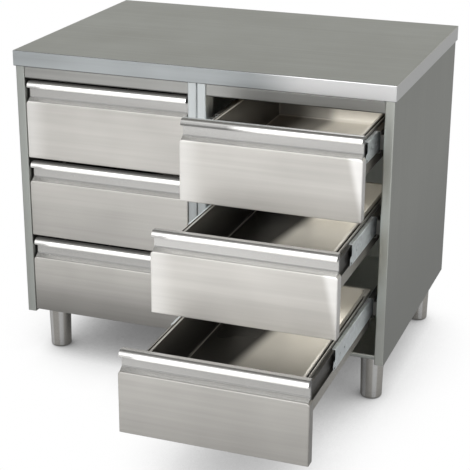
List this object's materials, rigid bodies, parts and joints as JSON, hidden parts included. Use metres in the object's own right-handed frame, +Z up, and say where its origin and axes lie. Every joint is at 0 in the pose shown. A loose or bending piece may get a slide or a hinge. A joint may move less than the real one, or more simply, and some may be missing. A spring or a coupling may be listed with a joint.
{
  "type": "drawer cabinet",
  "caption": "Stainless steel kitchen drawer cabinet: worktop on folded bays with deep drawers on telescopic slides, full-width handle strips and round levelling feet.",
  "frame": {"origin": "On the floor, at the middle of the whole outline with the right-hand drawers standing open.", "axes": "+Z up out of the worktop, -Y out of the drawer fronts, +X to the right as seen from the front."},
  "size_m": [1, 1.243, 0.85],
  "materials": {
    "worktop_steel": "satin stainless sheet, grain along the width",
    "carcass_steel": "satin stainless sheet, folded",
    "drawer_front_steel": "brushed stainless sheet, grain along the width",
    "drawer_box_steel": "bright stainless sheet, pressed",
    "slide_zinc": "zinc-plated rolled steel",
    "core_board": "moisture-proof board, hidden inside the worktop",
    "foot_steel": "turned stainless steel"
  },
  "bodies": {
    "cabinet": {"worktop": "worktop_steel", "worktop_core": "core_board", "side_panel_left": "carcass_steel", "side_panel_right": "carcass_steel", "partition_left": "carcass_steel", "partition_right": "carcass_steel", "back_panel": "carcass_steel", "base_tray": "carcass_steel", "bottom_rail": "carcass_steel", "top_rail_left": "carcass_steel", "top_rail_right": "carcass_steel", "rear_upright_left_outer": "carcass_steel", "rear_upright_left_inner": "carcass_steel", "rear_upright_right_outer": "carcass_steel", "rear_upright_right_inner": "carcass_steel", "foot_leg_front_left": "foot_steel", "foot_leg_front_right": "foot_steel", "foot_leg_rear_left": "foot_steel", "foot_leg_rear_right": "foot_steel", "outer_rail_left_top_l": "slide_zinc", "outer_rail_left_top_r": "slide_zinc", "outer_rail_left_middle_l": "slide_zinc", "outer_rail_left_middle_r": "slide_zinc", "outer_rail_left_bottom_l": "slide_zinc", "outer_rail_left_bottom_r": "slide_zinc", "outer_rail_right_top_l": "slide_zinc", "outer_rail_right_top_r": "slide_zinc", "outer_rail_right_middle_l": "slide_zinc", "outer_rail_right_middle_r": "slide_zinc", "outer_rail_right_bottom_l": "slide_zinc", "outer_rail_right_bottom_r": "slide_zinc"},
    "foot_front_left": {"foot_adjuster_front_left": "foot_steel"},
    "foot_front_right": {"foot_adjuster_front_right": "foot_steel"},
    "foot_rear_left": {"foot_adjuster_rear_left": "foot_steel"},
    "foot_rear_right": {"foot_adjuster_rear_right": "foot_steel"},
    "drawer_left_top": {"drawer_front_left_top": "drawer_front_steel", "drawer_box_left_top": "drawer_box_steel"},
    "drawer_left_middle": {"drawer_front_left_middle": "drawer_front_steel", "drawer_box_left_middle": "drawer_box_steel"},
    "drawer_left_bottom": {"drawer_front_left_bottom": "drawer_front_steel", "drawer_box_left_bottom": "drawer_box_steel"},
    "drawer_right_top": {"drawer_front_right_top": "drawer_front_steel", "drawer_box_right_top": "drawer_box_steel"},
    "drawer_right_middle": {"drawer_front_right_middle": "drawer_front_steel", "drawer_box_right_middle": "drawer_box_steel"},
    "drawer_right_bottom": {"drawer_front_right_bottom": "drawer_front_steel", "drawer_box_right_bottom": "drawer_box_steel"},
    "slide_left_top": {"middle_rail_left_top_l": "slide_zinc", "middle_rail_left_top_r": "slide_zinc"},
    "slide_left_middle": {"middle_rail_left_middle_l": "slide_zinc", "middle_rail_left_middle_r": "slide_zinc"},
    "slide_left_bottom": {"middle_rail_left_bottom_l": "slide_zinc", "middle_rail_left_bottom_r": "slide_zinc"},
    "slide_right_top": {"middle_rail_right_top_l": "slide_zinc", "middle_rail_right_top_r": "slide_zinc"},
    "slide_right_middle": {"middle_rail_right_middle_l": "slide_zinc", "middle_rail_right_middle_r": "slide_zinc"},
    "slide_right_bottom": {"middle_rail_right_bottom_l": "slide_zinc", "middle_rail_right_bottom_r": "slide_zinc"}
  },
  "joints": [
    {"name": "open_left_top", "type": "slide", "parent": "cabinet", "child": "drawer_left_top", "axis": [0, -1, 0], "range_m": [0, 0.57]},
    {"name": "open_left_middle", "type": "slide", "parent": "cabinet", "child": "drawer_left_middle", "axis": [0, -1, 0], "range_m": [0, 0.57]},
    {"name": "open_left_bottom", "type": "slide", "parent": "cabinet", "child": "drawer_left_bottom", "axis": [0, -1, 0], "range_m": [0, 0.57]},
    {"name": "open_right_top", "type": "slide", "parent": "cabinet", "child": "drawer_right_top", "axis": [0, -1, 0], "range_m": [-0.178, 0.392]},
    {"name": "open_right_middle", "type": "slide", "parent": "cabinet", "child": "drawer_right_middle", "axis": [0, -1, 0], "range_m": [-0.357, 0.213]},
    {"name": "open_right_bottom", "type": "slide", "parent": "cabinet", "child": "drawer_right_bottom", "axis": [0, -1, 0], "range_m": [-0.548, 0.022]},
    {"name": "extend_left_top", "type": "slide", "parent": "cabinet", "child": "slide_left_top", "axis": [0, -1, 0], "range_m": [-0.0001, 0.3421]},
    {"name": "extend_left_middle", "type": "slide", "parent": "cabinet", "child": "slide_left_middle", "axis": [0, -1, 0], "range_m": [-0.0001, 0.3421]},
    {"name": "extend_left_bottom", "type": "slide", "parent": "cabinet", "child": "slide_left_bottom", "axis": [0, -1, 0], "range_m": [-0.0001, 0.3421]},
    {"name": "extend_right_top", "type": "slide", "parent": "cabinet", "child": "slide_right_top", "axis": [0, -1, 0], "range_m": [-0.1069, 0.2353]},
    {"name": "extend_right_middle", "type": "slide", "parent": "cabinet", "child": "slide_right_middle", "axis": [0, -1, 0], "range_m": [-0.2143, 0.1279]},
    {"name": "extend_right_bottom", "type": "slide", "parent": "cabinet", "child": "slide_right_bottom", "axis": [0, -1, 0], "range_m": [-0.3289, 0.0133]},
    {"name": "level_front_left", "type": "slide", "parent": "cabinet", "child": "foot_front_left", "axis": [0, 0, -1], "range_m": [0, 0.02]},
    {"name": "level_front_right", "type": "slide", "parent": "cabinet", "child": "foot_front_right", "axis": [0, 0, -1], "range_m": [0, 0.02]},
    {"name": "level_rear_left", "type": "slide", "parent": "cabinet", "child": "foot_rear_left", "axis": [0, 0, -1], "range_m": [0, 0.02]},
    {"name": "level_rear_right", "type": "slide", "parent": "cabinet", "child": "foot_rear_right", "axis": [0, 0, -1], "range_m": [0, 0.02]}
  ],
  "couplings": [
    {"joint": "extend_left_top", "follows": "open_left_top", "ratio": 0.6},
    {"joint": "extend_left_middle", "follows": "open_left_middle", "ratio": 0.6},
    {"joint": "extend_left_bottom", "follows": "open_left_bottom", "ratio": 0.6},
    {"joint": "extend_right_top", "follows": "open_right_top", "ratio": 0.6},
    {"joint": "extend_right_middle", "follows": "open_right_middle", "ratio": 0.6},
    {"joint": "extend_right_bottom", "follows": "open_right_bottom", "ratio": 0.6}
  ]
}
